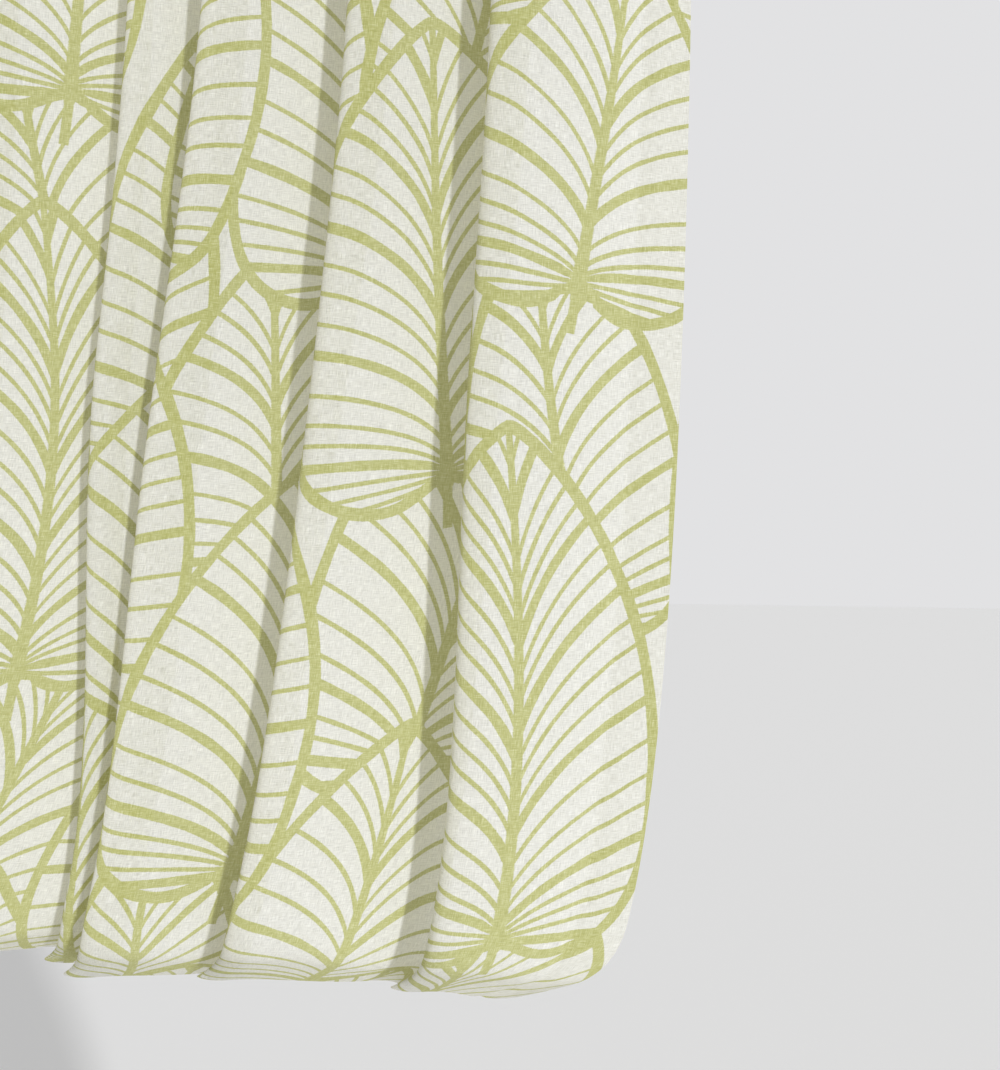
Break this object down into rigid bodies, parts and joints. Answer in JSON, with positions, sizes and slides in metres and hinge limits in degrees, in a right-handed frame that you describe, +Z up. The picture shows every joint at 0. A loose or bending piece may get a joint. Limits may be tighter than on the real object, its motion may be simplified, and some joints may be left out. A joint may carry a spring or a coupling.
{
  "type": "sheer curtain",
  "caption": "Sheer curtain panel: one thin linen-look cloth hanging from its top edge in uneven soft folds, printed with large line-drawn leaves, hem turned under at its foot.",
  "frame": {"origin": "middle of the top edge, where the panel is held", "axes": "+Z up, +X along the panel's width to the right of someone facing it, -Y towards that person"},
  "size_m": [0.8569, 0.1973, 1.5736],
  "materials": {
    "sheer_cloth": "white linen-look plain weave, slightly see-through, with a yellow-green line-drawn leaf print"
  },
  "bodies": {
    "root": {"panel": "sheer_cloth"}
  },
  "joints": []
}
